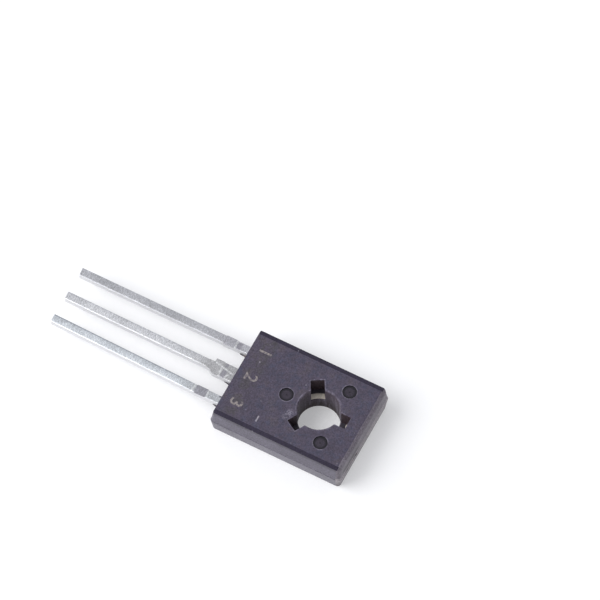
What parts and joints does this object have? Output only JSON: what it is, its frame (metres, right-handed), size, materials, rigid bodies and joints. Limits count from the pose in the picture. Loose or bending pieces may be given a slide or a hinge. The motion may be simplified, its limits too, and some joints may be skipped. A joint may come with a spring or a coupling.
{
  "type": "flat-package power transistor with three leads and a screw hole",
  "caption": "Small black resin power transistor with straight tinned leads, a bare metal back and a notched screw hole through its flat moulded body.",
  "frame": {"origin": "axis of the screw hole in the plane of the back, which is the face that lies on a heat sink", "axes": "+Z out of the front face along the hole, +Y from the leads towards the hole end, +X to the side of the third lead"},
  "size_m": [0.0078, 0.025, 0.0027],
  "materials": {
    "resin": "satin",
    "tinned_copper": "satin tin plate",
    "silicon": "polished",
    "solder": "dull",
    "bond_wire": "drawn"
  },
  "bodies": {
    "root": {"epoxy_body": "resin", "heat_sink_pad": "tinned_copper", "collector_lead": "tinned_copper", "emitter_lead": "tinned_copper", "base_lead": "tinned_copper", "silicon_die": "silicon", "die_solder": "solder", "emitter_wire": "bond_wire", "base_wire": "bond_wire"}
  },
  "joints": []
}
